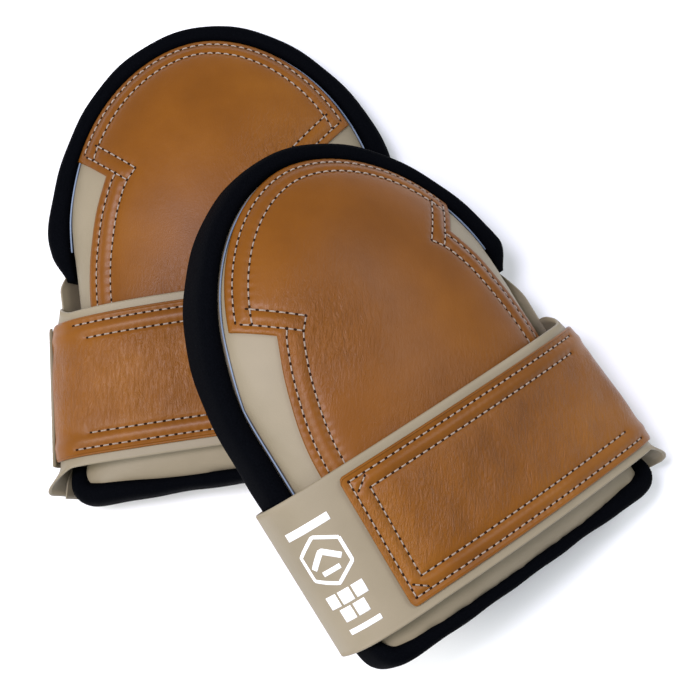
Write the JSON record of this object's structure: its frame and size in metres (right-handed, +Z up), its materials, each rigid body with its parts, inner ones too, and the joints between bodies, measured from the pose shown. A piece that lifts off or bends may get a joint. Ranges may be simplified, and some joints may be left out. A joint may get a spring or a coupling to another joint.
{
  "type": "pair of knee pads",
  "caption": "Left and right padded leather knee pads with a domed foam shell, a black padded edge and a wide stitched band, one leaning on the other.",
  "frame": {"origin": "on the ground, under the middle of the pair's bounding box", "axes": "+Z up out of the fronts of the pads, +Y towards the thigh end of the rear pad, +X towards the front pad"},
  "size_m": [0.3188, 0.3394, 0.1252],
  "materials": {
    "leather": "smooth tan leather with a soft sheen and fine creases",
    "vinyl": "beige fine-grained vinyl on cloth",
    "edging": "black laminated foam edging",
    "foam": "closed-cell padding foam",
    "lining": "dark felt",
    "webbing": "woven elastic strap",
    "loop": "napped loop tape",
    "hook": "moulded hook tape"
  },
  "bodies": {
    "rear_pad": {"rear_foam_core": "foam", "rear_vinyl_cover": "vinyl", "rear_leather_cap": "leather", "rear_knee_lining": "lining", "rear_dome_edging": "edging", "rear_foot_edging": "edging", "rear_side_gusset": "vinyl", "rear_band_backing": "vinyl", "rear_band_leather": "leather", "rear_under_strap": "webbing", "rear_loop_patch": "loop"},
    "rear_flap": {"rear_closure_flap": "vinyl", "rear_hook_patch": "hook"},
    "front_pad": {"front_foam_core": "foam", "front_vinyl_cover": "vinyl", "front_leather_cap": "leather", "front_knee_lining": "lining", "front_dome_edging": "edging", "front_foot_edging": "edging", "front_side_gusset": "vinyl", "front_band_backing": "vinyl", "front_band_leather": "leather", "front_under_strap": "webbing", "front_loop_patch": "loop"},
    "front_flap": {"front_closure_flap": "leather", "front_hook_patch": "hook"}
  },
  "joints": [
    {"name": "front_pad_lift", "type": "slide", "parent": "rear_pad", "child": "front_pad", "axis": [0, 0, 1], "range_m": [0, 0.15]},
    {"name": "rear_flap_peel", "type": "hinge", "parent": "rear_pad", "child": "rear_flap", "pos_m": [-0.1637, 0.03451, 0.00891], "axis": [0.134, -0.991, 0], "range_deg": [0, 60]},
    {"name": "front_flap_peel", "type": "hinge", "parent": "front_pad", "child": "front_flap", "pos_m": [0.09194, 0.03045, 0.0205], "axis": [-0.5264, 0.8401, 0.1312], "range_deg": [0, 60]}
  ]
}
